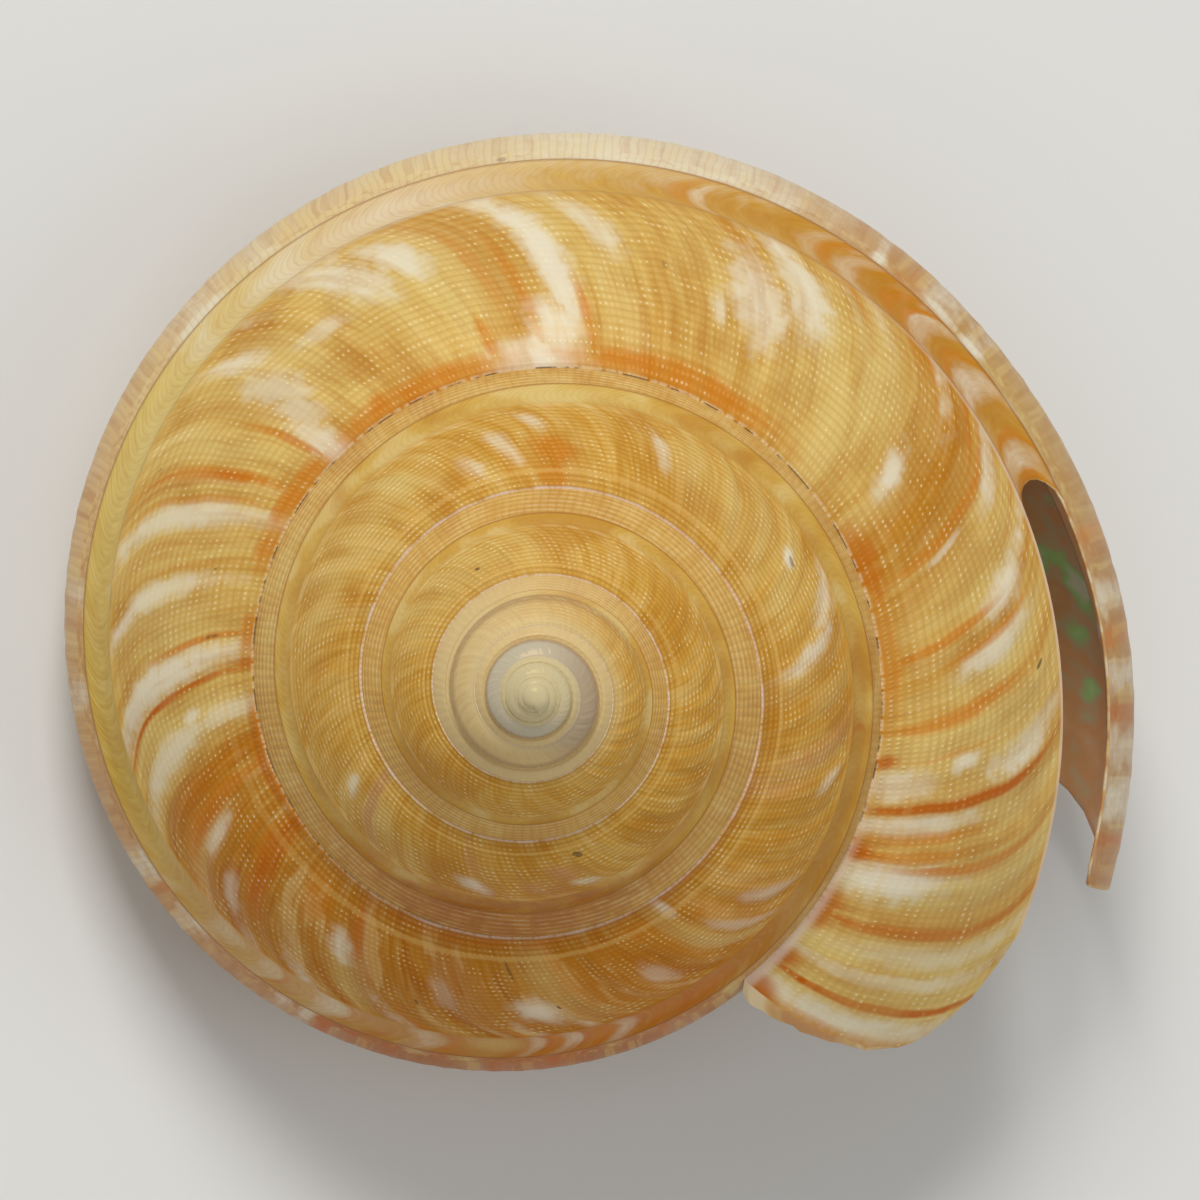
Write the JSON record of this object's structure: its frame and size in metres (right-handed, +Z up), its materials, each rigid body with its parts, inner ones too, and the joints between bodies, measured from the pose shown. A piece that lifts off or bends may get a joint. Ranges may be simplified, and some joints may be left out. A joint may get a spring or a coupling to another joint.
{
  "type": "slit shell",
  "caption": "Coiled top-shaped sea shell with a long slit in its outer lip, an open mouth and a solid columella, lying on its base.",
  "frame": {"origin": "centre of the bounding box's underside, on the surface that the shell rests on", "axes": "+Z up as the shell rests on its base, +X towards the slit in the outer lip, the mouth opens towards -Y"},
  "size_m": [0.08, 0.07, 0.0506],
  "materials": {
    "shell": "satin"
  },
  "bodies": {
    "root": {"shell": "shell"}
  },
  "joints": []
}
